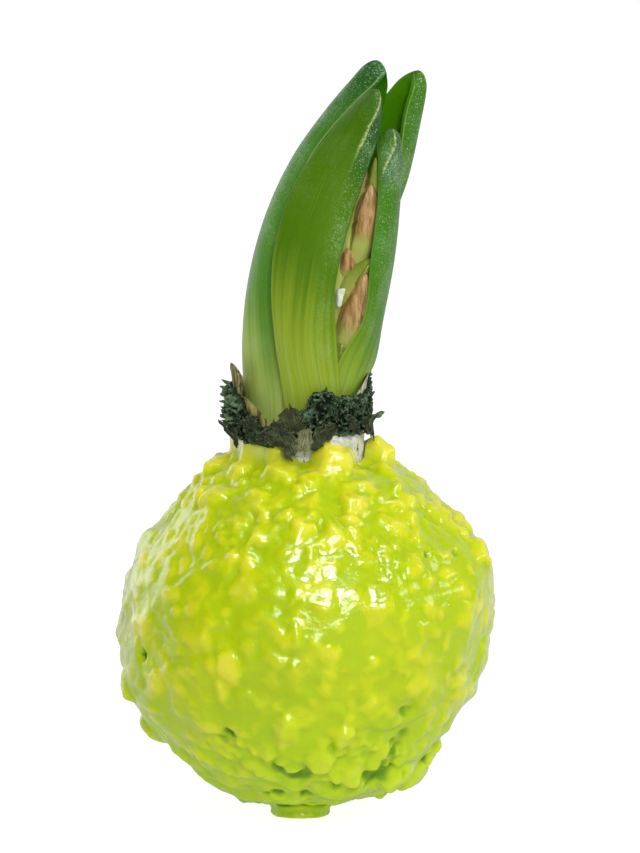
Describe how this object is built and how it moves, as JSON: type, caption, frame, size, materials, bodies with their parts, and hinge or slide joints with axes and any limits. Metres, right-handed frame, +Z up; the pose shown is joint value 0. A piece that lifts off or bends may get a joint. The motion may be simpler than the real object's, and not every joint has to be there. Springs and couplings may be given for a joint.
{
  "type": "waxed hyacinth bulb",
  "caption": "Sprouting flower bulb in a thick crumbly coat of lime-green wax, with hooded green leaves opening round its flower spike.",
  "frame": {"origin": "centre of the flat wax foot, on the surface that the bulb stands on", "axes": "+Z up, +X towards the side that the shoot leans to, -Y towards the side where the buds show between the leaves"},
  "size_m": [0.0708, 0.0701, 0.1413],
  "materials": {
    "wax": "glossy translucent wax",
    "bulb_skin": "dull papery skin",
    "dead_skin": "dull crumbly dead skin",
    "dry_scale": "dull dried scale",
    "pale_scale": "dull papery scale",
    "leaf": "satin waxy leaf",
    "flower_bud": "satin bud"
  },
  "bodies": {
    "root": {"wax_coat": "wax", "bulb": "bulb_skin", "neck_tunic": "dead_skin", "dry_scale_left": "dry_scale", "dry_scale_front": "dry_scale", "pale_scale_right": "pale_scale", "leaf_left": "leaf", "leaf_front": "leaf", "leaf_right": "leaf", "leaf_back": "leaf", "flower_spike": "flower_bud"}
  },
  "joints": []
}
